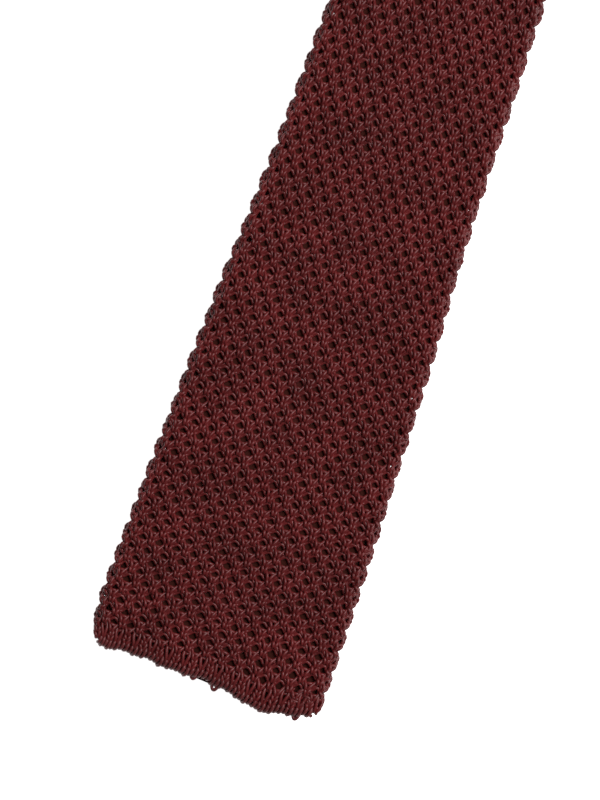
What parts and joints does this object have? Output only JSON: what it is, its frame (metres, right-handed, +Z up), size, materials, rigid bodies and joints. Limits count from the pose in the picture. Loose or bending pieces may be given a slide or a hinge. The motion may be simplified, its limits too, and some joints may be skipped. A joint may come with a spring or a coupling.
{
  "type": "knitted necktie",
  "caption": "Square-ended open-knit silk necktie, folded in four layers for the shelf, with a keeper loop and a blank label on its back.",
  "frame": {"origin": "centre of the folded tie's footprint, on the surface that it lies on", "axes": "+Y along the tie from the blade's tip towards the far folds, +Z up out of the blade's face, +X across the tie"},
  "size_m": [0.06, 0.3832, 0.0212],
  "materials": {
    "silk_knit": "burgundy silk yarn, cross-tuck crunch knit, soft sheen",
    "seam_yarn": "the same silk yarn, linked and overcast",
    "sewing_thread": "burgundy polyester sewing thread",
    "woven_label": "blank damask-woven label, charcoal",
    "care_satin": "blank white satin ribbon",
    "cotton_tape": "undyed cotton twill tape"
  },
  "bodies": {
    "tail": {"tail_knit": "silk_knit", "tail_back_seam": "seam_yarn", "tail_closing_seam": "seam_yarn", "tail_closing_knot": "seam_yarn", "care_tag": "care_satin", "care_tag_stitches": "sewing_thread"},
    "neck": {"neck_knit": "silk_knit", "neck_back_seam": "seam_yarn", "neck_stay_tape": "cotton_tape"},
    "shoulder": {"shoulder_knit": "silk_knit", "shoulder_back_seam": "seam_yarn", "shoulder_stay_tape": "cotton_tape"},
    "blade": {"blade_knit": "silk_knit", "blade_back_seam": "seam_yarn", "blade_closing_seam": "seam_yarn", "blade_closing_knot": "seam_yarn", "keeper_loop": "silk_knit", "keeper_tack_left": "sewing_thread", "keeper_tack_right": "sewing_thread", "maker_label": "woven_label", "label_stitches_left": "sewing_thread", "label_stitches_right": "sewing_thread"}
  },
  "joints": [
    {"name": "tail_fold", "type": "hinge", "parent": "tail", "child": "neck", "pos_m": [0, 0.1915, 0.0051], "axis": [-1, 0, 0], "range_deg": [0, 180]},
    {"name": "neck_fold", "type": "hinge", "parent": "neck", "child": "shoulder", "pos_m": [0, -0.1779, 0.0105], "axis": [1, 0, 0], "range_deg": [0, 180]},
    {"name": "blade_fold", "type": "hinge", "parent": "shoulder", "child": "blade", "pos_m": [0, 0.1916, 0.016], "axis": [-1, 0, 0], "range_deg": [0, 180]}
  ]
}
